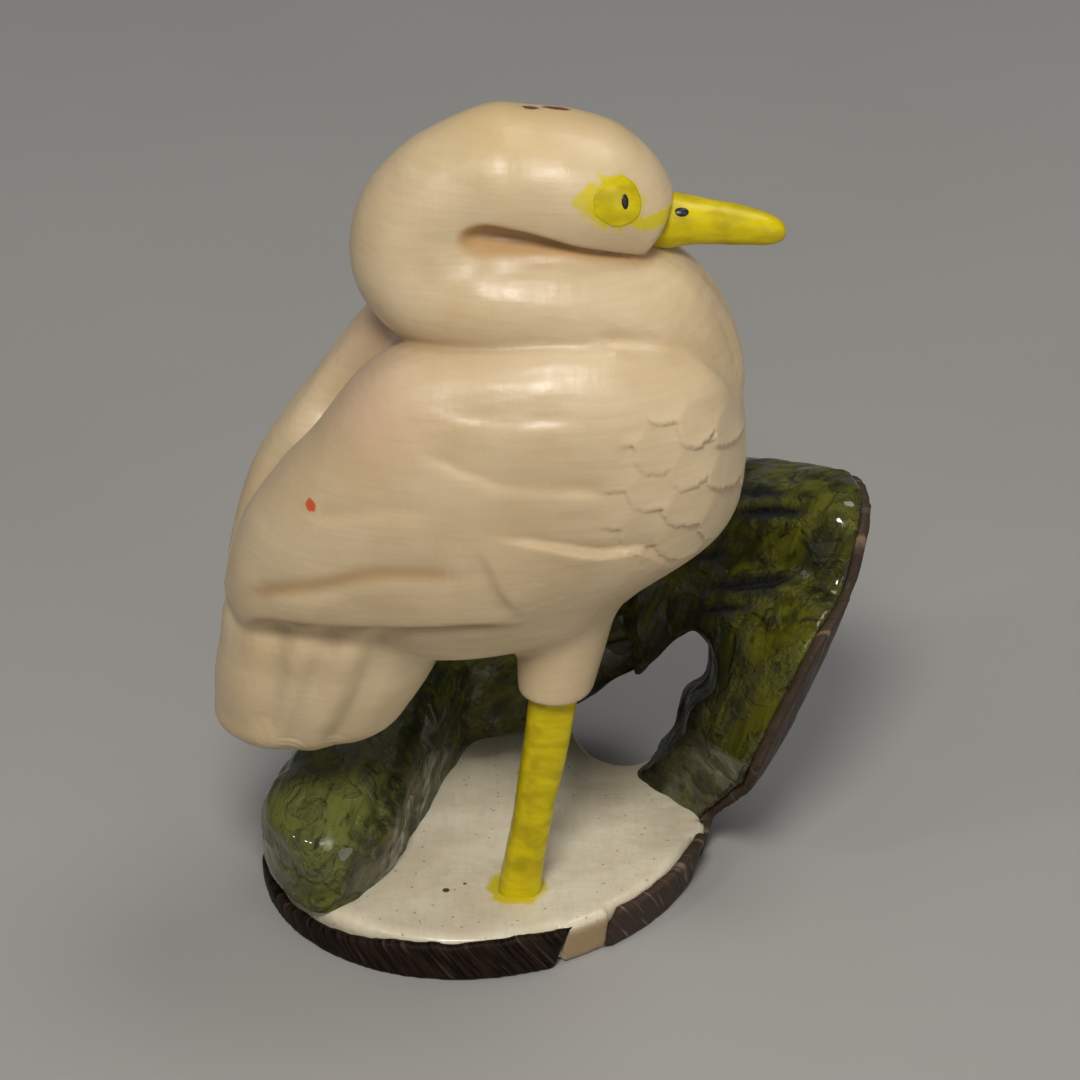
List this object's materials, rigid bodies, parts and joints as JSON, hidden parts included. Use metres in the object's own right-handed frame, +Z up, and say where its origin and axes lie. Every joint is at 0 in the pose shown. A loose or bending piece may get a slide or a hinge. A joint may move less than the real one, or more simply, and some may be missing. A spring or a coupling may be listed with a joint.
{
  "type": "carved tagua-nut egret figurine",
  "caption": "Hand-carved vegetable-ivory egret with a folded neck, resting on one leg beside a pierced, green-painted log on a slice of the nut with its brown seed coat.",
  "frame": {"origin": "centre of the whole object's bounding box in plan, at the height of the flat underside that it stands on", "axes": "+Z up, +X towards the beak's tip, -Y towards the bird's right side, which faces the viewer"},
  "size_m": [0.0436, 0.0358, 0.0587],
  "materials": {
    "ivory": "polished vegetable ivory",
    "yellow_paint": "yellow ink on carved nut, satin",
    "green_paint": "olive green ink under thick gloss varnish",
    "white_nut": "pale carved nut, satin, with tool marks",
    "seed_coat": "fibrous dark brown seed coat, semi-gloss"
  },
  "bodies": {
    "root": {"bird_carving": "ivory", "beak": "yellow_paint", "eye_right": "yellow_paint", "eye_left": "yellow_paint", "leg": "yellow_paint", "log_arch": "green_paint", "stand_floor": "white_nut", "seed_coat_front": "seed_coat", "seed_coat_right": "seed_coat", "seed_coat_wall": "seed_coat"}
  },
  "joints": []
}
